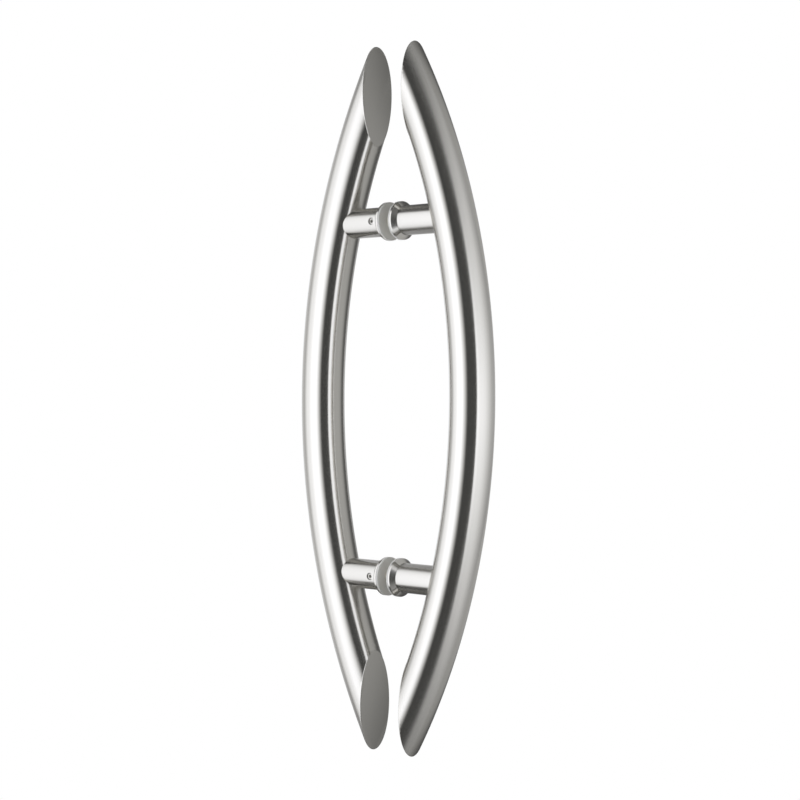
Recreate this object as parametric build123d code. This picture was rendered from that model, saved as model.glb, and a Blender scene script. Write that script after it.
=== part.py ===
from build123d import *
import os
from math import asin, degrees, sqrt

# A back-to-back pair of bow-shaped pull handles for a glass door, in satin stainless steel.
# Millimetres. The origin is the middle of the glass, halfway between the two fixings.
# +X points to the right handle, +Y along the door and +Z up.

# Door
glass_thickness = 10.0
fixing_centres = 305.0

# Bow tubes, cut flat at both ends in a plane parallel to the glass
overall_length = 610.0
tube_diameter = 38.1
tube_wall = 1.5
hand_clearance = 60.0           # from the glass to the tube at mid height
tip_clearance = 16.2            # from the glass to the cut ends
end_plate_thickness = 2.0

# Posts
post_diameter = 25.4
post_end_chamfer = 0.4

# Flared rings and gaskets between the posts and the glass
ring_flare = 3.8                # how far the rim stands out from the post
ring_rim_width = 2.0
ring_taper_length = 3.4
ring_edge_chamfer = 0.3
gasket_thickness = 1.5
gasket_edge_chamfer = 0.3

# Through screws, threaded into the right handle's posts
screw_diameter = 8.0
screw_head_diameter = 13.0
screw_head_height = 5.0
screw_key_width = 5.0
screw_key_depth = 3.0
screw_engagement = 15.0
screw_tip_chamfer = 1.0
tapped_hole_run_out = 3.0

# Bushes in the holes of the glass
bush_diameter = 12.0
bush_end_gap = 0.25

# Spigots that carry the left handle's posts
spigot_diameter = 16.0
spigot_floor = 8.0              # under the screw head
spigot_edge_chamfer = 0.8
spigot_groove_depth = 1.0
post_bore_end_gap = 1.0

# Grub screws that lock the left handle's posts to the spigots
grub_diameter = 6.0
grub_point_diameter = 3.0
grub_setback = 5.2              # from the post's end to the screw's axis
grub_key_width = 3.0
grub_key_depth = 2.0
grub_sink = 1.0                 # below the post's surface

# Fits, on the radius
sliding_fit = 0.1
thread_fit = 0.05
screw_hole_fit = 0.2

# The arc of a bow follows from its length, its hand clearance and its cut ends
tube_radius = tube_diameter / 2
glass_face_x = glass_thickness / 2
bow_mid_x = glass_face_x + hand_clearance + tube_radius
cut_x = glass_face_x + tip_clearance
bow_rise = bow_mid_x + tube_radius - cut_x
outer_bend_radius = (bow_rise**2 + (overall_length / 2) ** 2) / (2 * bow_rise)
bend_radius = outer_bend_radius - tube_radius
bend_centre_x = bow_mid_x - bend_radius
bend_axis = Axis((bend_centre_x, 0, 0), (0, 1, 0))
sweep_past_tip = 4.0            # degrees

# Where the pieces of a fixing meet, measured from the middle of the glass
fixing_z = fixing_centres / 2
ring_face_x = glass_face_x + gasket_thickness
ring_rim_x = ring_face_x + ring_rim_width
post_end_x = ring_rim_x + ring_taper_length
screw_head_x = post_end_x + spigot_floor
spigot_end_x = screw_head_x + screw_head_height
screw_tip_x = post_end_x + screw_engagement
grub_x = post_end_x + grub_setback

post_radius = post_diameter / 2
ring_radius = post_radius + ring_flare
screw_radius = screw_diameter / 2
screw_hole_radius = screw_radius + screw_hole_fit
spigot_radius = spigot_diameter / 2
grub_radius = grub_diameter / 2
grub_point_radius = grub_point_diameter / 2
bush_radius = bush_diameter / 2

# The grub screws' points and outer ends, measured from the post's axis
grub_point = spigot_radius - spigot_groove_depth
grub_end = post_radius - grub_sink


def bow(radius):
    """A solid bow of the given section radius, which runs on past the cut ends."""
    half_angle = degrees(asin(overall_length / 2 / outer_bend_radius)) + sweep_past_tip
    section = Pos(bow_mid_x, 0) * Circle(radius)
    return revolve(section, bend_axis, 2 * half_angle).rotate(bend_axis, -half_angle)


def beyond(solid, x):
    """The part of a solid on the far side of a plane parallel to the glass."""
    return split(solid, Plane((x, 0, 0), z_dir=(1, 0, 0)), keep=Keep.TOP)


def turned(*corners):
    """A round piece about the X axis, from the (x, radius) corners of its half section."""
    return revolve(make_face(Polyline(*corners, close=True)), Axis.X)


def rod(start_x, end_x, radius):
    """A plain round bar about the X axis, or the tool that bores a hole of that size."""
    return turned((start_x, 0), (start_x, radius), (end_x, radius), (end_x, 0))


def key_socket(x, width, depth):
    """The hexagon socket in a screw's end face at x, cut towards the glass."""
    return extrude(Plane((x, 0, 0), z_dir=(1, 0, 0)) * RegularPolygon(width / 2, 6, major_radius=False), -depth)


def to_grub(piece):
    """Turns a piece made along +X to the near side of the left post and moves it to the grub screw's axis."""
    return Pos(-grub_x, 0, 0) * Rot(0, 0, -90) * piece


def at_left(piece):
    return mirror(piece, about=Plane.YZ)


# Bow tube and end plates of the right handle
outer_bow = bow(tube_radius)
bow_tube = beyond(outer_bow - bow(tube_radius - tube_wall), cut_x + end_plate_thickness)

end_plates = beyond(outer_bow, cut_x) - beyond(outer_bow, cut_x + end_plate_thickness)
top_end_plate = split(end_plates, Plane.XY, keep=Keep.TOP)

# Post, in the top fixing's place, with the end away from the glass coped to the bow
bow_x_at_post = bend_centre_x + sqrt(bend_radius**2 - fixing_z**2)
post_to_bow = turned(
    (post_end_x, 0),
    (post_end_x, post_radius - post_end_chamfer),
    (post_end_x + post_end_chamfer, post_radius),
    (bow_x_at_post, post_radius),
    (bow_x_at_post, 0),
)
top_post = Pos(0, 0, fixing_z) * post_to_bow - outer_bow

# The right posts are tapped for the through screws
tapped_hole = rod(post_end_x, screw_tip_x + tapped_hole_run_out, screw_radius + thread_fit)
right_top_post = top_post - Pos(0, 0, fixing_z) * tapped_hole

# The left posts are bored for the spigots and tapped for the grub screws
post_bore = at_left(rod(post_end_x, spigot_end_x + post_bore_end_gap, spigot_radius + sliding_fit))
grub_hole = to_grub(rod(0, post_diameter, grub_radius + thread_fit))
left_top_post = at_left(top_post) - Pos(0, 0, fixing_z) * (post_bore + grub_hole)

# Ring, with its flat face on the gasket and its taper down to the post
ring = turned(
    (ring_face_x, screw_hole_radius),
    (ring_face_x, ring_radius - ring_edge_chamfer),
    (ring_face_x + ring_edge_chamfer, ring_radius),
    (ring_rim_x, ring_radius),
    (post_end_x, post_radius),
    (post_end_x, screw_hole_radius),
)

# Gasket, with its softened edge against the glass
gasket = turned(
    (glass_face_x, bush_radius + sliding_fit),
    (glass_face_x, ring_radius - gasket_edge_chamfer),
    (glass_face_x + gasket_edge_chamfer, ring_radius),
    (ring_face_x, ring_radius),
    (ring_face_x, bush_radius + sliding_fit),
)

# Bush round the screw, through the glass and both gaskets
bush_end_x = ring_face_x - bush_end_gap
bush = rod(-bush_end_x, bush_end_x, bush_radius) - rod(-bush_end_x, bush_end_x, screw_hole_radius)

# Spigot, with a counterbore for the screw head and a groove for the grub screw's point
spigot = turned(
    (post_end_x, screw_hole_radius),
    (post_end_x, spigot_radius),
    (grub_x - grub_point_radius - spigot_groove_depth, spigot_radius),
    (grub_x - grub_point_radius, grub_point),
    (grub_x + grub_point_radius, grub_point),
    (grub_x + grub_point_radius + spigot_groove_depth, spigot_radius),
    (spigot_end_x - spigot_edge_chamfer, spigot_radius),
    (spigot_end_x, spigot_radius - spigot_edge_chamfer),
    (spigot_end_x, screw_head_diameter / 2 + screw_hole_fit),
    (screw_head_x, screw_head_diameter / 2 + screw_hole_fit),
    (screw_head_x, screw_hole_radius),
)

# Through screw, with its head in the left spigot and its tip in the right post
through_screw = at_left(
    turned(
        (-screw_tip_x, 0),
        (-screw_tip_x, screw_radius - screw_tip_chamfer),
        (screw_tip_chamfer - screw_tip_x, screw_radius),
        (screw_head_x, screw_radius),
        (screw_head_x, screw_head_diameter / 2),
        (spigot_end_x, screw_head_diameter / 2),
        (spigot_end_x, 0),
    )
    - key_socket(spigot_end_x, screw_key_width, screw_key_depth)
)

# Grub screw, with its point in the spigot's groove
grub_screw = to_grub(
    turned(
        (grub_point, 0),
        (grub_point, grub_point_radius),
        (grub_point + grub_radius - grub_point_radius, grub_radius),
        (grub_end, grub_radius),
        (grub_end, 0),
    )
    - key_socket(grub_end, grub_key_width, grub_key_depth)
)

# The left handle mirrors the right one apart from its posts, and each bottom end mirrors its top end
top_pieces = {
    "left_{end}_end_plate": at_left(top_end_plate),
    "left_{end}_post": left_top_post,
    "right_{end}_end_plate": top_end_plate,
    "right_{end}_post": right_top_post,
}
fixing_pieces = {
    "{end}_left_ring": at_left(ring),
    "{end}_right_ring": ring,
    "{end}_left_gasket": at_left(gasket),
    "{end}_right_gasket": gasket,
    "{end}_glass_bush": bush,
    "{end}_spigot": at_left(spigot),
    "{end}_through_screw": through_screw,
    "{end}_grub_screw": grub_screw,
}
for name, piece in fixing_pieces.items():
    top_pieces[name] = Pos(0, 0, fixing_z) * piece

nodes = {"left_bow_tube": at_left(bow_tube), "right_bow_tube": bow_tube}
for name, piece in top_pieces.items():
    nodes[name.format(end="top")] = piece
    nodes[name.format(end="bottom")] = mirror(piece, about=Plane.XY)

os.makedirs("parts", exist_ok=True)
for name, piece in nodes.items():
    export_step(piece, f"parts/{name}.step")
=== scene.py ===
from math import asin, atan2, ceil, cos, hypot, pi, radians, sin, sqrt, tau

import bmesh
import bpy
from mathutils import Matrix, Vector


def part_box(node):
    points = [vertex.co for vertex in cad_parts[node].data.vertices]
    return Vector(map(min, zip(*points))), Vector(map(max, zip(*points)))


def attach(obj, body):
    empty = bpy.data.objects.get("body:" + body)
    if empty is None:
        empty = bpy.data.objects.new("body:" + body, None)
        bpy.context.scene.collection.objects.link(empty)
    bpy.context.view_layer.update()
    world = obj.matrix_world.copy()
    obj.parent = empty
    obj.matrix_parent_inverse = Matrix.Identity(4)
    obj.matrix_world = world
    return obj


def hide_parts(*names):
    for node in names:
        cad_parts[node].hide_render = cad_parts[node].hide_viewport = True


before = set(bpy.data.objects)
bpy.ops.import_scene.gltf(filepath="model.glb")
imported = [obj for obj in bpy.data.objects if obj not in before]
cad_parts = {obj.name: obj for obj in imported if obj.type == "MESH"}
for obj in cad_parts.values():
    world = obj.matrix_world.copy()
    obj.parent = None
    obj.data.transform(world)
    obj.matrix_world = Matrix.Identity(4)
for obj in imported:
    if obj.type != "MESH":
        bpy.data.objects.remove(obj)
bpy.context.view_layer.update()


# Bow tubes: drawn stainless tube, rolled to one long arc and cut off at both ends parallel to the door.
# A fine belt linished them round and round, so their satin grain runs across the tube.
sides = {"right": 1, "left": -1}
ends = {"top": 1, "bottom": -1}
tube_radius = 0.01905
tube_wall = 0.0015
apex_x = 0.1031                     # the outermost line of the right bow
tube_sides = 144
tube_steps = 200
past_tip = radians(2)               # the sweep goes on past the cuts
same_place = 1e-6                   # points nearer than this are one
sharp_from = radians(25)            # edges that turn by more stay crisp
plate_low, plate_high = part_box("right_top_end_plate")
cut_x, joint_x, tip_z = plate_low.x, plate_high.x, plate_high.z
bow_rise = apex_x - cut_x
outer_bend_radius = (bow_rise**2 + tip_z**2) / (2 * bow_rise)
bend_radius = outer_bend_radius - tube_radius
bend_centre = Vector((apex_x - outer_bend_radius, 0, 0))
half_sweep = asin(tip_z / outer_bend_radius) + past_tip


def add_bow_wall(bm, radius, sweep, steps):
    """Adds the wall of a right-hand bow of the given section radius, swept down from past its top end."""
    section = Matrix.Translation(bend_centre + Vector((bend_radius, 0, 0)))
    ring = bmesh.ops.create_circle(bm, segments=tube_sides, radius=radius, matrix=section)["verts"]
    bmesh.ops.rotate(bm, verts=ring, cent=bend_centre, matrix=Matrix.Rotation(-half_sweep, 3, "Y"))
    edges = list({edge for vert in ring for edge in vert.link_edges})
    bmesh.ops.spin(bm, geom=ring + edges, cent=bend_centre, axis=(0, 1, 0), angle=sweep, steps=steps)


def cut_off(bm, point, towards):
    """Cuts off all that lies beyond a plane through the point, in the given direction."""
    everything = bm.verts[:] + bm.edges[:] + bm.faces[:]
    bmesh.ops.bisect_plane(bm, geom=everything, plane_co=point, plane_no=towards, clear_outer=True)


def mirrored(bm, side, end):
    """A copy of a piece of the right handle's top end, as the same piece of another side or end."""
    copy = bm.copy()
    bmesh.ops.scale(copy, verts=copy.verts[:], vec=(side, 1, end))
    bmesh.ops.recalc_face_normals(copy, faces=copy.faces[:])
    return copy


def lay_grain(bm, along, around, radius):
    """Gives a piece a UV map in metres for its grain, with U along the piece and V round it."""
    grain = bm.loops.layers.uv.new("grain")
    for face in bm.faces:
        middle = around(face.calc_center_median())
        for loop in face.loops:
            turn = (around(loop.vert.co) - middle + pi) % tau - pi
            loop[grain].uv = along(loop.vert.co), (middle + turn) * radius


def along_bow(place):
    return atan2(place.z, abs(place.x) - bend_centre.x) * bend_radius


def around_bow(place):
    return atan2(place.y, hypot(abs(place.x) - bend_centre.x, place.z) - bend_radius)


def add_piece(name, bm, material, node):
    """Makes a finished mesh a piece of the handle, in the place of its CAD node."""
    mesh = bpy.data.meshes.new(name)
    bm.to_mesh(mesh)
    bm.free()
    mesh.shade_smooth()
    mesh.set_sharp_from_angle(angle=sharp_from)
    mesh.materials.append(material)
    piece = bpy.data.objects.new(name, mesh)
    bpy.context.scene.collection.objects.link(piece)
    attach(piece, "root")
    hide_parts(node)


def linear(hex_colour):
    """The linear colour of an sRGB hex value such as "#c8c6c1"."""
    levels = [int(hex_colour[i : i + 2], 16) / 255 for i in (1, 3, 5)]
    return (*[c / 12.92 if c <= 0.04045 else ((c + 0.055) / 1.055) ** 2.4 for c in levels], 1)


def add_node(tree, kind, inputs=(), stops=(), **settings):
    """Adds a shader node with its settings, and with a ramp's stops as (place, level) pairs.

    Its inputs, in order or by name, are values, sockets, or nodes that stand for their first output.
    """
    node = tree.nodes.new("ShaderNode" + kind)
    for setting, value in settings.items():
        setattr(node, setting, value)
    for socket, value in inputs.items() if isinstance(inputs, dict) else enumerate(inputs):
        if isinstance(value, bpy.types.Node):
            value = value.outputs[0]
        if isinstance(value, bpy.types.NodeSocket):
            tree.links.new(value, node.inputs[socket])
        else:
            node.inputs[socket].default_value = value
    if stops:
        ramp = node.color_ramp.elements
        ramp.remove(ramp[1])
        for i, (place, level) in enumerate(stops):
            stop = ramp.new(place) if i else ramp[0]
            stop.position = place
            stop.color = (level, level, level, 1)
    return node


mix_share, mix_from, mix_to, mixed = 0, 6, 7, 2    # a Mix node's sockets for colours


def new_material(name):
    """A node material without nodes, and its tree."""
    material = bpy.data.materials.new(name)
    material.use_nodes = True
    material.node_tree.nodes.clear()
    return material, material.node_tree


# Satin stainless steel mirrors the room crisply along its scratches and smears it square to them, along U.
# A real scratch is about 0.05 mm wide; it is drawn coarser, so that the grain shows at all.
def satin_steel(name, roughness, anisotropy):
    scratch_width = 0.0003
    scratch_length = 0.008
    cloud_size = 0.05
    noise_spread = 0.6, 1.4         # where nearly all of the two noises' sum lies
    unevenness = 0.01
    material, tree = new_material(name)
    grain = add_node(tree, "UVMap", uv_map="grain")
    stretch = (1 / scratch_width, 1 / scratch_length, 1)
    stretched = add_node(tree, "Mapping", {"Vector": grain, "Scale": stretch})
    scratched = {"Vector": stretched, "Scale": 1, "Detail": 3, "Roughness": 0.6}
    scratches = add_node(tree, "TexNoise", scratched, noise_dimensions="2D")
    place = add_node(tree, "TexCoord").outputs["Object"]
    clouds = add_node(tree, "TexNoise", {"Vector": place, "Scale": 1 / cloud_size, "Detail": 2})
    uneven = add_node(tree, "Math", [scratches, clouds], operation="ADD")
    rough_spread = roughness - unevenness, roughness + unevenness
    rough = add_node(tree, "MapRange", [uneven, *noise_spread, *rough_spread])
    shades = {mix_share: scratches, mix_from: linear("#cbc9c3"), mix_to: linear("#d1cfca")}
    steel = {
        "Base Color": add_node(tree, "Mix", shades, data_type="RGBA").outputs[mixed],
        "Metallic": 1,
        "Roughness": rough,
        "Anisotropic": anisotropy,
        "Tangent": add_node(tree, "Tangent", direction_type="UV_MAP", uv_map="grain"),
    }
    add_node(tree, "OutputMaterial", {"Surface": add_node(tree, "BsdfPrincipled", steel)})
    return material


tube_steel = satin_steel("satin stainless tube", 0.25, 0.96)

right_bow = bmesh.new()
add_bow_wall(right_bow, tube_radius, 2 * half_sweep, tube_steps)
add_bow_wall(right_bow, tube_radius - tube_wall, 2 * half_sweep, tube_steps)
cut_off(right_bow, (joint_x, 0, 0), (-1, 0, 0))
for way in ends.values():
    rims = [edge for edge in right_bow.edges if edge.is_boundary and edge.verts[0].co.z * way > 0]
    bmesh.ops.triangle_fill(right_bow, use_beauty=True, edges=rims, normal=(-1, 0, 0))
lay_grain(right_bow, along_bow, around_bow, tube_radius)
for side, sign in sides.items():
    bow = mirrored(right_bow, sign, 1)
    add_piece(f"{side}_bow", bow, tube_steel, f"{side}_bow_tube")


# End plates: 2 mm stainless sheet, welded over the cut ends and ground flush with the tube.
# They are linished together with the tube, which hides the weld and breaks their edges to a small round.
edge_round = 0.0005
edge_steps = 4
edge_support = 0.0001               # a narrow strip on each side of the round keeps the flat faces flat
plate_sweep = radians(20)
plate_steps = 60

plate = bmesh.new()
add_bow_wall(plate, tube_radius, plate_sweep, plate_steps)
cut_off(plate, (joint_x, 0, 0), (1, 0, 0))
cut_off(plate, (cut_x + edge_round + edge_support, 0, 0), (-1, 0, 0))
# In order round the tube, so that every run splits the flat faces alike
rims = sorted((vert for vert in plate.verts if vert.is_boundary), key=lambda vert: around_bow(vert.co))
back = [vert for vert in rims if abs(vert.co.x - joint_x) < same_place]
front = [vert for vert in rims if vert not in back]
plate.faces.new(back)
flat_face = [plate.faces.new(front)]
bmesh.ops.recalc_face_normals(plate, faces=plate.faces[:])
bmesh.ops.inset_region(plate, faces=flat_face, depth=edge_support)
for step in range(edge_steps):
    start, stop = (radians(90) * (step + i) / edge_steps for i in (0, 1))
    inward = edge_round * (cos(start) - cos(stop))
    outward = edge_round * (sin(stop) - sin(start))
    bmesh.ops.inset_region(plate, faces=flat_face, thickness=inward, depth=outward, use_even_offset=True)
bmesh.ops.inset_region(plate, faces=flat_face, thickness=edge_support, use_even_offset=True)
lay_grain(plate, along_bow, around_bow, tube_radius)
for side, sign in sides.items():
    for end, way in ends.items():
        cap = mirrored(plate, sign, way)
        add_piece(f"{side}_{end}_cap", cap, tube_steel, f"{side}_{end}_end_plate")


# Posts: turned stainless bar, scribed to the tube at one end and welded to it.
# The left posts are bored for the spigots and drilled from the near side for the grub screws, and the
# right ones are tapped for the through screws.
post_radius = 0.0127
post_end_chamfer = 0.0004
turned_sides = 128
scribe_rings = 5
grub_hole_radius = 0.00305
ring_low, ring_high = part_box("top_right_ring")
fixing_z = (ring_low.z + ring_high.z) / 2
post_end_x = ring_high.x
screw_low, screw_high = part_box("top_through_screw")
spigot_low, spigot_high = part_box("top_spigot")
grub_low, grub_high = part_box("top_grub_screw")
grub_x = -(grub_low.x + grub_high.x) / 2
tap_run_out = 0.003
bore_end_gap = 0.001
hole_radius = {"right": 0.00405, "left": 0.0081}
hole_end_x = {"right": screw_high.x + tap_run_out, "left": -spigot_low.x + bore_end_gap}
scribe_x = 0.07                     # where the far end is before it is scribed to the bow
past_post = 0.02                    # the cutter for the grub hole starts outside the post


def turned(outline, closed=True):
    """A round piece about the X axis, from the (x, radius) corners of its half section."""
    bm = bmesh.new()
    corners = [bm.verts.new((x, 0, radius)) for x, radius in outline]
    for start, stop in zip(corners, corners[1:]):
        bm.edges.new((start, stop))
    if closed:
        bm.edges.new((corners[-1], corners[0]))
    section = bm.verts[:] + bm.edges[:]
    bmesh.ops.spin(bm, geom=section, axis=(1, 0, 0), angle=tau, steps=turned_sides, use_merge=True)
    bmesh.ops.remove_doubles(bm, verts=bm.verts[:], dist=same_place)
    bmesh.ops.recalc_face_normals(bm, faces=bm.faces[:])
    return bm


def along_turned(place):
    return hypot(place.y, place.z) - place.x


def around_turned(place):
    return atan2(place.y, place.z)


def in_fixing(bm):
    """Moves a turned piece up to the top fixing, and lays its grain."""
    lay_grain(bm, along_turned, around_turned, post_radius)
    bmesh.ops.translate(bm, verts=bm.verts[:], vec=(0, 0, fixing_z))
    return bm


def in_grub_hole(bm):
    """Turns a piece made along X to the near side, and moves it to the grub screw's place in a post."""
    bmesh.ops.rotate(bm, verts=bm.verts[:], matrix=Matrix.Rotation(radians(-90), 3, "Z"))
    bmesh.ops.translate(bm, verts=bm.verts[:], vec=(grub_x, 0, 0))
    return bm


def cut_out(bm, tool):
    """The piece with the tool's shape cut out of it."""
    both = []
    for part in (bm, tool):
        mesh = bpy.data.meshes.new("cutting")
        part.to_mesh(mesh)
        part.free()
        both.append(bpy.data.objects.new("cutting", mesh))
        bpy.context.scene.collection.objects.link(both[-1])
    cut = both[0].modifiers.new("cut", "BOOLEAN")
    cut.object = both[1]
    cut.solver = "EXACT"
    result = bmesh.new()
    result.from_object(both[0], bpy.context.evaluated_depsgraph_get())
    bmesh.ops.remove_doubles(result, verts=result.verts[:], dist=same_place)
    for done in both:
        bpy.data.meshes.remove(done.data)
    return result


def scribed(bm):
    """The post with its far end slid along X until it lies on the bow."""
    for vert in bm.verts:
        if abs(vert.co.x - scribe_x) < same_place:
            across = sqrt(tube_radius**2 - vert.co.y**2)
            vert.co.x = bend_centre.x + sqrt((bend_radius - across) ** 2 - (vert.co.z + fixing_z) ** 2)
    return bm


post_steel = satin_steel("satin stainless bar", 0.25, 0.96)

for side, sign in sides.items():
    outline = [
        (hole_end_x[side], 0),
        (hole_end_x[side], hole_radius[side]),
        (post_end_x, hole_radius[side]),
        (post_end_x, post_radius - post_end_chamfer),
        (post_end_x + post_end_chamfer, post_radius),
    ]
    for i in range(scribe_rings + 1):
        outline.append((scribe_x, post_radius * (scribe_rings - i) / scribe_rings))
    post = scribed(turned(outline, closed=False))
    if side == "left":
        drill = [
            (hole_radius[side] / 2, 0),
            (hole_radius[side] / 2, grub_hole_radius),
            (past_post, grub_hole_radius),
            (past_post, 0),
        ]
        post = cut_out(post, in_grub_hole(turned(drill, closed=False)))
    in_fixing(post)
    for end, way in ends.items():
        standoff = mirrored(post, sign, way)
        add_piece(f"{side}_{end}_standoff", standoff, post_steel, f"{side}_{end}_post")


# Rings: turned stainless, with a flat face to the gasket, a plain rim and a taper down to the post.
# The through screw draws them tight between the posts and the door.
ring_steel = satin_steel("turned stainless ring", 0.14, 0.8)
ring_radius = ring_high.y
ring_rim_width = 0.002
ring_edge = 0.0003
screw_hole_radius = 0.0042
outline = [
    (ring_low.x, screw_hole_radius),
    (ring_low.x, ring_radius - ring_edge),
    (ring_low.x + ring_edge, ring_radius),
    (ring_low.x + ring_rim_width, ring_radius),
    (post_end_x, post_radius),
    (post_end_x, screw_hole_radius),
]
ring = in_fixing(turned(outline))
for side, sign in sides.items():
    for end, way in ends.items():
        collar = mirrored(ring, sign, way)
        add_piece(f"{end}_{side}_collar", collar, ring_steel, f"{end}_{side}_ring")


# Gaskets: punched from soft plastic sheet, so that the steel never touches the glass.
# The through screws press them between the rings and the door.


# Soft plastic is dull and pale, with a fine grit that breaks up its sheen. Between the rings it looks
# darker than it is.
def dull_plastic(name, darkest, lightest, roughness):
    grit_size = 0.0006
    grit_depth = 0.00003
    material, tree = new_material(name)
    place = add_node(tree, "TexCoord").outputs["Object"]
    grit = add_node(tree, "TexNoise", {"Vector": place, "Scale": 1 / grit_size, "Detail": 3})
    shades = {mix_share: grit, mix_from: linear(darkest), mix_to: linear(lightest)}
    plastic = {
        "Base Color": add_node(tree, "Mix", shades, data_type="RGBA").outputs[mixed],
        "Roughness": roughness,
        "Normal": add_node(tree, "Bump", {"Strength": 0.3, "Distance": grit_depth, "Height": grit}),
    }
    add_node(tree, "OutputMaterial", {"Surface": add_node(tree, "BsdfPrincipled", plastic)})
    return material


gasket_plastic = dull_plastic("soft grey plastic", "#dddcd7", "#e5e4df", 0.45)
gasket_low, gasket_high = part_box("top_right_gasket")
gasket_edge = 0.0003
gasket_hole_radius = 0.0061
outline = [
    (gasket_low.x, gasket_hole_radius),
    (gasket_low.x, ring_radius - gasket_edge),
    (gasket_low.x + gasket_edge, ring_radius),
    (gasket_high.x, ring_radius),
    (gasket_high.x, gasket_hole_radius),
]
gasket = in_fixing(turned(outline))
for side, sign in sides.items():
    for end, way in ends.items():
        washer = mirrored(gasket, sign, way)
        add_piece(f"{end}_{side}_washer", washer, gasket_plastic, f"{end}_{side}_gasket")


# Glass bushes: turned nylon sleeves that keep the through screws off the glass.
# They fill the holes of the door and of the gaskets.
bush_nylon = dull_plastic("natural nylon", "#e6e2d6", "#ece8de", 0.4)
bush_low, bush_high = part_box("top_glass_bush")
bush_radius = bush_high.y
bush_edge = 0.0004
outline = [
    (bush_low.x, screw_hole_radius),
    (bush_low.x, bush_radius - bush_edge),
    (bush_low.x + bush_edge, bush_radius),
    (bush_high.x - bush_edge, bush_radius),
    (bush_high.x, bush_radius - bush_edge),
    (bush_high.x, screw_hole_radius),
]
bush = in_fixing(turned(outline))
for end, way in ends.items():
    sleeve = mirrored(bush, 1, way)
    add_piece(f"{end}_sleeve", sleeve, bush_nylon, f"{end}_glass_bush")


# Spigots: turned stainless, clamped to the door by the through screws' heads in their counterbores.
# The left posts slide over them, and the grub screws' points lock into their grooves.
spigot_radius = spigot_high.y
spigot_edge = 0.0008
counterbore_radius = 0.0067
head_height = 0.005
groove_depth = 0.001
point_radius = 0.0015
spigot_steel = satin_steel("turned stainless spigot", 0.3, 0.9)
spigot_end_x = -spigot_low.x
outline = [
    (post_end_x, screw_hole_radius),
    (post_end_x, spigot_radius),
    (grub_x - point_radius - groove_depth, spigot_radius),
    (grub_x - point_radius, spigot_radius - groove_depth),
    (grub_x + point_radius, spigot_radius - groove_depth),
    (grub_x + point_radius + groove_depth, spigot_radius),
    (spigot_end_x - spigot_edge, spigot_radius),
    (spigot_end_x, spigot_radius - spigot_edge),
    (spigot_end_x, counterbore_radius),
    (spigot_end_x - head_height, counterbore_radius),
    (spigot_end_x - head_height, screw_hole_radius),
]
spigot = in_fixing(turned(outline))
for end, way in ends.items():
    carrier = mirrored(spigot, -1, way)
    add_piece(f"{end}_carrier", carrier, spigot_steel, f"{end}_spigot")


# Through screws: bright M8 stainless cap screws, with a hexagon socket for the key and a rolled thread.
# Their heads sit in the left spigots and their threads in the right posts.
screw_radius = 0.004
screw_pitch = 0.00125
screw_thread_length = 0.020
thread_depth = 0.6                  # of the pitch
thread_crest = 0.12                 # of the pitch
screw_tip_chamfer = 0.001
head_radius = 0.0065
head_edge = 0.0005
screw_key, screw_key_depth = 0.005, 0.003
thread_sides = 32
screw_steel = satin_steel("bright stainless screw", 0.25, 0.6)


def add_thread(bm, radius, pitch, start_x, stop_x):
    """Adds a thread about X between two places, joins it to a shank's open end and closes its far end."""
    turns = ceil((stop_x - start_x) / pitch) + 2
    thread = bmesh.new()
    rise, fall = (1 - thread_crest) / 2, (1 + thread_crest) / 2
    profile = [(0, thread_depth), (rise, 0), (fall, 0), (1, thread_depth)]
    corners = []
    for x, down in profile:
        corners.append(thread.verts.new((start_x + (x - 1) * pitch, 0, radius - down * pitch)))
    for one, other in zip(corners, corners[1:]):
        thread.edges.new((one, other))
    step = (pitch / thread_sides, 0, 0)
    steps = turns * thread_sides
    section = thread.verts[:] + thread.edges[:]
    bmesh.ops.spin(thread, geom=section, axis=(1, 0, 0), dvec=step, angle=turns * tau, steps=steps)
    bmesh.ops.remove_doubles(thread, verts=thread.verts[:], dist=same_place)
    cut_off(thread, (start_x, 0, 0), (-1, 0, 0))
    cut_off(thread, (stop_x, 0, 0), (1, 0, 0))
    rims = [edge for edge in thread.edges if edge.is_boundary]
    far_end = [edge for edge in rims if edge.verts[0].co.x > stop_x - pitch / 2]
    bmesh.ops.contextual_create(thread, geom=far_end)
    mesh = bpy.data.meshes.new("thread")
    thread.to_mesh(mesh)
    thread.free()
    bm.from_mesh(mesh)
    bpy.data.meshes.remove(mesh)
    bmesh.ops.bridge_loops(bm, edges=[edge for edge in bm.edges if edge.is_boundary])


def key_socket(end_x, width, depth):
    """The hexagon cutter for a key socket in the end face at end_x, from the side of smaller x."""
    cutter = bmesh.new()
    radius = width / 2 / cos(radians(30))
    size = {"radius1": radius, "radius2": radius, "depth": 2 * depth}
    bmesh.ops.create_cone(cutter, cap_ends=True, segments=6, **size)
    bmesh.ops.rotate(cutter, verts=cutter.verts[:], matrix=Matrix.Rotation(radians(90), 3, "Y"))
    bmesh.ops.translate(cutter, verts=cutter.verts[:], vec=(end_x, 0, 0))
    return cutter


def taper_tip(bm, tip_x, tip_radius):
    """Turns the last of a thread down at 45 degrees towards the tip's radius."""
    for vert in bm.verts:
        radius, allowed = hypot(vert.co.y, vert.co.z), tip_radius + tip_x - vert.co.x
        if radius > allowed and tip_x - vert.co.x < tip_radius:
            vert.co.yz *= allowed / radius


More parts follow.
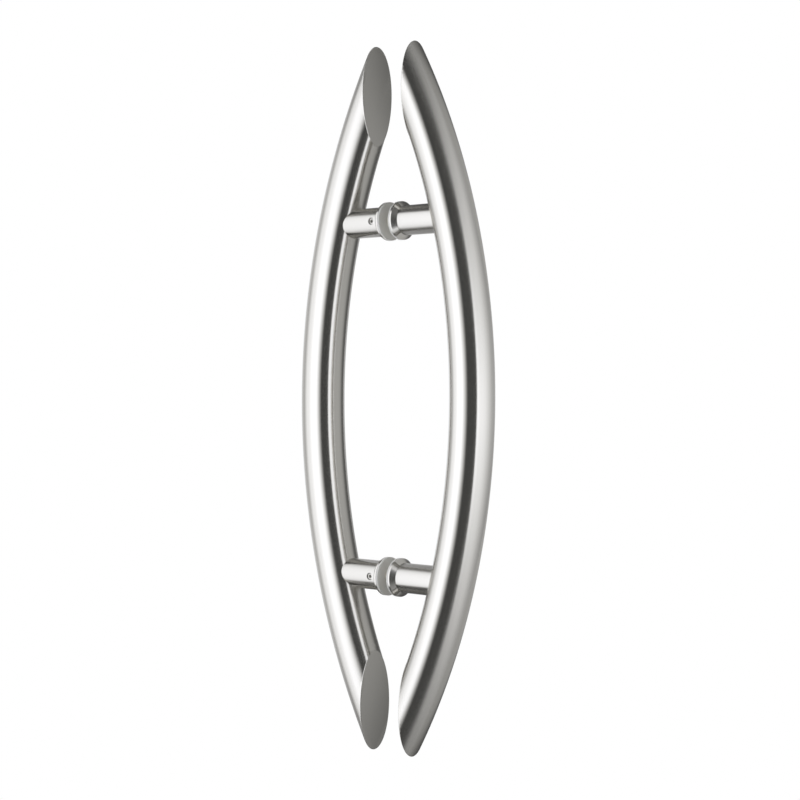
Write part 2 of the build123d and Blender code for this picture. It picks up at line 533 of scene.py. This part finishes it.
outline = [
    (screw_low.x, 0),
    (screw_low.x, head_radius - head_edge),
    (screw_low.x + head_edge, head_radius),
    (screw_low.x + head_height, head_radius),
    (screw_low.x + head_height, screw_radius),
    (screw_high.x - screw_thread_length, screw_radius),
]
screw = turned(outline, closed=False)
thread_start_x = screw_high.x - screw_thread_length + screw_pitch
add_thread(screw, screw_radius, screw_pitch, thread_start_x, screw_high.x)
taper_tip(screw, screw_high.x, screw_radius - screw_tip_chamfer)
bmesh.ops.recalc_face_normals(screw, faces=screw.faces[:])
screw = in_fixing(cut_out(screw, key_socket(screw_low.x, screw_key, screw_key_depth)))
for end, way in ends.items():
    bolt = mirrored(screw, 1, way)
    add_piece(f"{end}_bolt", bolt, screw_steel, f"{end}_through_screw")


# Grub screws: M6 stainless with a hexagon socket, screwed in just below the left posts' surface.
# Their points draw the posts tight over the spigots.
grub_radius = 0.003
grub_edge = 0.0006
grub_key, grub_key_depth = 0.003, 0.002
grub_point, grub_end = -grub_high.y, -grub_low.y
outline = [
    (grub_point, 0),
    (grub_point, point_radius),
    (grub_point + grub_radius - point_radius, grub_radius),
    (grub_end - 2 * grub_edge, grub_radius),
    (grub_end, grub_radius - grub_edge),
    (grub_end, 0),
]
grub = cut_out(turned(outline, closed=False), key_socket(grub_end, grub_key, grub_key_depth))
in_fixing(in_grub_hole(grub))
for end, way in ends.items():
    set_screw = mirrored(grub, -1, way)
    add_piece(f"{end}_set_screw", set_screw, screw_steel, f"{end}_grub_screw")


# Camera: a long lens level with the middle of the handles, on the near side and right of the glass.
camera_azimuth = radians(40.6)
camera_elevation = radians(0.6)
camera_distance = 1.45
camera_roll = radians(0.24)
to_camera = Vector((sin(camera_azimuth), -cos(camera_azimuth), 0))
to_right = Vector((cos(camera_azimuth), sin(camera_azimuth), 0))
camera_data = bpy.data.cameras.new("camera")
camera_data.sensor_width = 36
camera_data.lens = 76.1
camera_data.shift_x = 0.0064
camera_data.shift_y = -0.0011
camera = bpy.data.objects.new("camera", camera_data)
back_along = (to_camera * cos(camera_elevation) + Vector((0, 0, sin(camera_elevation)))).normalized()
camera.matrix_world = (
    Matrix.Translation(back_along * camera_distance)
    @ back_along.to_track_quat("Z", "Y").to_matrix().to_4x4()
    @ Matrix.Rotation(camera_roll, 4, "Z")
)
bpy.context.scene.collection.objects.link(camera)
bpy.context.scene.camera = camera
bpy.context.scene.view_settings.view_transform = "Standard"


# Room: white wherever it is seen, also in the steel and through the tent's open top.
seen_strength, unseen_strength = 1, 0.6
world = bpy.data.worlds.new("white studio")
bpy.context.scene.world = world
world.use_nodes = True
tree = world.node_tree
tree.nodes.clear()
path = add_node(tree, "LightPath").outputs
seen = add_node(tree, "Math", [path["Is Camera Ray"], path["Is Glossy Ray"]], operation="MAXIMUM")
seen = add_node(tree, "Math", [seen, path["Is Transmission Ray"]], operation="MAXIMUM")
strength = add_node(tree, "MapRange", [seen, 0, 1, unseen_strength, seen_strength])
sky = add_node(tree, "Background", {"Color": (1, 1, 1, 1), "Strength": strength})
add_node(tree, "OutputWorld", {"Surface": sky})


def add_to_studio(name, bm, material):
    """Adds a finished mesh to the studio, which isn't part of the handle."""
    mesh = bpy.data.meshes.new(name)
    bm.to_mesh(mesh)
    bm.free()
    mesh.materials.append(material)
    stand = bpy.data.objects.new(name, mesh)
    bpy.context.scene.collection.objects.link(stand)
    return stand


# Light tent: a tunnel of cloth round the handles, unseen by the camera, with a softbox on the left, a
# reflector on the right, dim light behind and darkness between them. The steel shows it as its bands.
# Turns are degrees to the right of the camera, and levels are shares of the tent's strength.
studio_sides = 96
tent_radius = 0.55
tent_top, floor_z = 1.8, -1.4
tent_strength = 2
tent_darkest = 0.042
tent_white, tent_cool = (1, 1, 1, 1), (0.97, 0.985, 1.05, 1)    # tints of its dark and bright cloth

softbox_turn, softbox_half_turn = -68, 52
softbox_z, softbox_half_height = 0.02, 1.1
softbox_core = 0.46                 # the share of its oval that is fully lit
softbox_fade = 0.52, 0.67           # where its ends start to fade and are dark, from its middle
softbox_bend = 45                   # how far to the left its ends bend, a metre up or down
softbox_left_level, softbox_level = 0.66, 0.88
softbox_dim_turns = -90, -70        # dimmer on the left, so that flat steel stays short of plain white

reflector_z = -0.02
reflector_bend = 20                 # how far to the right its upper half bends, a metre up
reflector_fade = 0.14               # what is left of its light a metre from its middle
reflector_softens = 0.22, 0.5       # where its near edge starts to soften and is soft, from its middle
reflector_crisp = [(24, 0), (26.5, 1), (33, 0.97), (38, 0.86), (50, 0.83), (65, 0.74), (75, 0.63)]
reflector_crisp += [(90, 0.47), (110, 0.28), (130, 0.1), (150, 0.08), (165, 0.05), (180, 0)]
reflector_soft = [(7, 0), (20, 0.27), (32, 0.76), (52, 0.95), (65, 0.92), (80, 0.7), (95, 0.46)]
reflector_soft += [(110, 0.28), (130, 0.1), (180, 0)]

left_behind = [(-175, 0.1), (-155, 0.38), (-140, 0.34), (-122, 0.28), (-105, 0)]
left_behind_fade = 0.33, 0.58       # how far up or down it starts to fade and is dimmest
left_behind_dimmest = 0.04
behind = [(-180, 0.33), (-145, 0), (105, 0), (130, 0.15), (150, 0.2), (165, 0.2), (180, 0.33)]
behind_fade = 0.36                  # where it is dark, from the softbox's middle


def turn_share(degrees):
    """A turn as the radial gradient gives it, from 0 to 1 with the camera's side in the middle."""
    return 0.5 + degrees / 360


def by_turn(levels):
    """The stops of a ramp that follows the turn, from (degrees, level) pairs."""
    return [(turn_share(degrees), level) for degrees, level in levels]


tent_light, tree = new_material("light tent")
place = add_node(tree, "TexCoord").outputs["Object"]
height = add_node(tree, "SeparateXYZ", [place]).outputs["Z"]
facing = add_node(tree, "Mapping", {"Vector": place, "Rotation": (0, 0, radians(90) - camera_azimuth)})
turn = add_node(tree, "TexGradient", [facing], gradient_type="RADIAL").outputs["Fac"]

squared = add_node(tree, "Math", [height, height], operation="MULTIPLY")
bent = add_node(tree, "Math", [squared, softbox_bend / 360, turn], operation="MULTIPLY_ADD")
spot = add_node(tree, "CombineXYZ", [bent, height])
half_turn = softbox_half_turn / 360
middle = (-turn_share(softbox_turn) / half_turn, -softbox_z / softbox_half_height, 0)
widths = (1 / half_turn, 1 / softbox_half_height, 1)
oval = add_node(tree, "Mapping", {"Vector": spot, "Location": middle, "Scale": widths})
outward = add_node(tree, "VectorMath", [oval], operation="LENGTH").outputs["Value"]
off_softbox = add_node(tree, "Math", [height, softbox_z], operation="SUBTRACT")
off_softbox = add_node(tree, "Math", [off_softbox], operation="ABSOLUTE")
core = add_node(tree, "MapRange", [outward, softbox_core, 1, 1, 0])
lit_height = add_node(tree, "MapRange", [off_softbox, *softbox_fade, 1, 0])
dim_from, dim_to = (turn_share(degrees) for degrees in softbox_dim_turns)
ceiling = add_node(tree, "MapRange", [turn, dim_from, dim_to, softbox_left_level, softbox_level])
softbox_light = add_node(tree, "Math", [core, lit_height], operation="MULTIPLY")
softbox_light = add_node(tree, "Math", [softbox_light, ceiling], operation="MINIMUM")

raised = add_node(tree, "Math", [height, 0], operation="MAXIMUM")
squared = add_node(tree, "Math", [raised, raised], operation="MULTIPLY")
bent = add_node(tree, "Math", [squared, -reflector_bend / 360, turn], operation="MULTIPLY_ADD")
crisp = add_node(tree, "ValToRGB", [bent], by_turn(reflector_crisp))
soft = add_node(tree, "ValToRGB", [bent], by_turn(reflector_soft))
off_reflector = add_node(tree, "Math", [height, reflector_z], operation="SUBTRACT")
off_reflector = add_node(tree, "Math", [off_reflector], operation="ABSOLUTE")
softness = add_node(tree, "MapRange", [off_reflector, *reflector_softens, 0, 1])
edges = {mix_share: softness, mix_from: crisp, mix_to: soft}
reflected = add_node(tree, "Mix", edges, data_type="RGBA").outputs[mixed]
left_over = add_node(tree, "Math", [reflector_fade, off_reflector], operation="POWER")
reflector_light = add_node(tree, "Math", [reflected, left_over], operation="MULTIPLY")

off_glass = add_node(tree, "Math", [height], operation="ABSOLUTE")
lit_height = add_node(tree, "MapRange", [off_glass, *left_behind_fade, 1, left_behind_dimmest])
left_light = add_node(tree, "ValToRGB", [turn], by_turn(left_behind))
left_light = add_node(tree, "Math", [left_light, lit_height], operation="MULTIPLY")
lit_height = add_node(tree, "MapRange", [off_softbox, 0, behind_fade, 1, 0])
back_light = add_node(tree, "ValToRGB", [turn], by_turn(behind))
back_light = add_node(tree, "Math", [back_light, lit_height], operation="MULTIPLY")

level = tent_darkest
for light in (softbox_light, reflector_light, left_light, back_light):
    level = add_node(tree, "Math", [light, level], operation="ADD")
tints = {mix_share: level, mix_from: tent_white, mix_to: tent_cool}
tint = add_node(tree, "Mix", tints, data_type="RGBA").outputs[mixed]
strength = add_node(tree, "Math", [level, tent_strength], operation="MULTIPLY")
glow = add_node(tree, "Emission", {"Color": tint, "Strength": strength})
add_node(tree, "OutputMaterial", {"Surface": glow})
tent = bmesh.new()
size = {"radius1": tent_radius, "radius2": tent_radius, "depth": tent_top - floor_z}
bmesh.ops.create_cone(tent, segments=studio_sides, **size)
bmesh.ops.translate(tent, verts=tent.verts[:], vec=(0, 0, (tent_top + floor_z) / 2))
add_to_studio("light_tent", tent, tent_light).visible_camera = False


# Grey flag: a card behind the right handle, unseen by the camera, which keeps the reflector off the left
# handle. It darkens towards its far edge, sooner at its ends.
flag_right = 0.09
flag_near, flag_far = 0.042, -0.2
flag_half_height = 0.5
flag_lean = 0.24                    # metres that the dark comes nearer in each metre up or down
flag_levels = [(0, 0.12), (0.29, 0.18), (0.47, 0.5), (0.6, 0.57), (1, 0.57)]    # from far to near
flag_dim_height, flag_dim = 0.75, 0.42    # how far up or down it would be dimmest, and its share there
grey_flag, tree = new_material("grey flag")
place = add_node(tree, "TexCoord").outputs["Object"]
height = add_node(tree, "SeparateXYZ", [place]).outputs["Z"]
off_glass = add_node(tree, "Math", [height], operation="ABSOLUTE")
depth = add_node(tree, "VectorMath", [place, to_camera], operation="DOT_PRODUCT").outputs["Value"]
lean = add_node(tree, "Math", [off_glass, flag_lean], operation="MULTIPLY")
depth = add_node(tree, "Math", [depth, lean], operation="SUBTRACT")
across = add_node(tree, "MapRange", [depth, flag_far, flag_near, 0, 1])
grey = add_node(tree, "ValToRGB", [across], flag_levels)
lit_height = add_node(tree, "MapRange", [off_glass, 0, flag_dim_height, 1, flag_dim])
strength = add_node(tree, "Math", [grey, lit_height], operation="MULTIPLY")
add_node(tree, "OutputMaterial", {"Surface": add_node(tree, "Emission", {"Strength": strength})})
flag = bmesh.new()
foot = [flag.verts.new(to_right * flag_right + to_camera * depth) for depth in (flag_near, flag_far)]
bmesh.ops.translate(flag, verts=foot, vec=(0, 0, -flag_half_height))
raised = bmesh.ops.extrude_edge_only(flag, edges=[flag.edges.new(foot)])["geom"]
raised = [part for part in raised if isinstance(part, bmesh.types.BMVert)]
bmesh.ops.translate(flag, verts=raised, vec=(0, 0, 2 * flag_half_height))
add_to_studio("grey_flag", flag, grey_flag).visible_camera = False


# Floor: a pale round sheet well below the handles, which looks white to the camera and keeps their shadow.
floor_radius = 3
floor_glow = 1.13
floor_glow_share = 0.85
pale_floor, tree = new_material("pale floor")
path = add_node(tree, "LightPath").outputs
share = add_node(tree, "Math", [path["Is Camera Ray"], floor_glow_share], operation="MULTIPLY")
paint = add_node(tree, "BsdfDiffuse", {"Color": linear("#f2f2f0")})
white = add_node(tree, "Emission", {"Color": (1, 1, 1, 1), "Strength": floor_glow})
add_node(tree, "OutputMaterial", {"Surface": add_node(tree, "MixShader", [share, paint, white])})
floor = bmesh.new()
bmesh.ops.create_circle(floor, cap_ends=True, segments=studio_sides, radius=floor_radius)
bmesh.ops.translate(floor, verts=floor.verts[:], vec=(0, 0, floor_z))
add_to_studio("floor", floor, pale_floor)
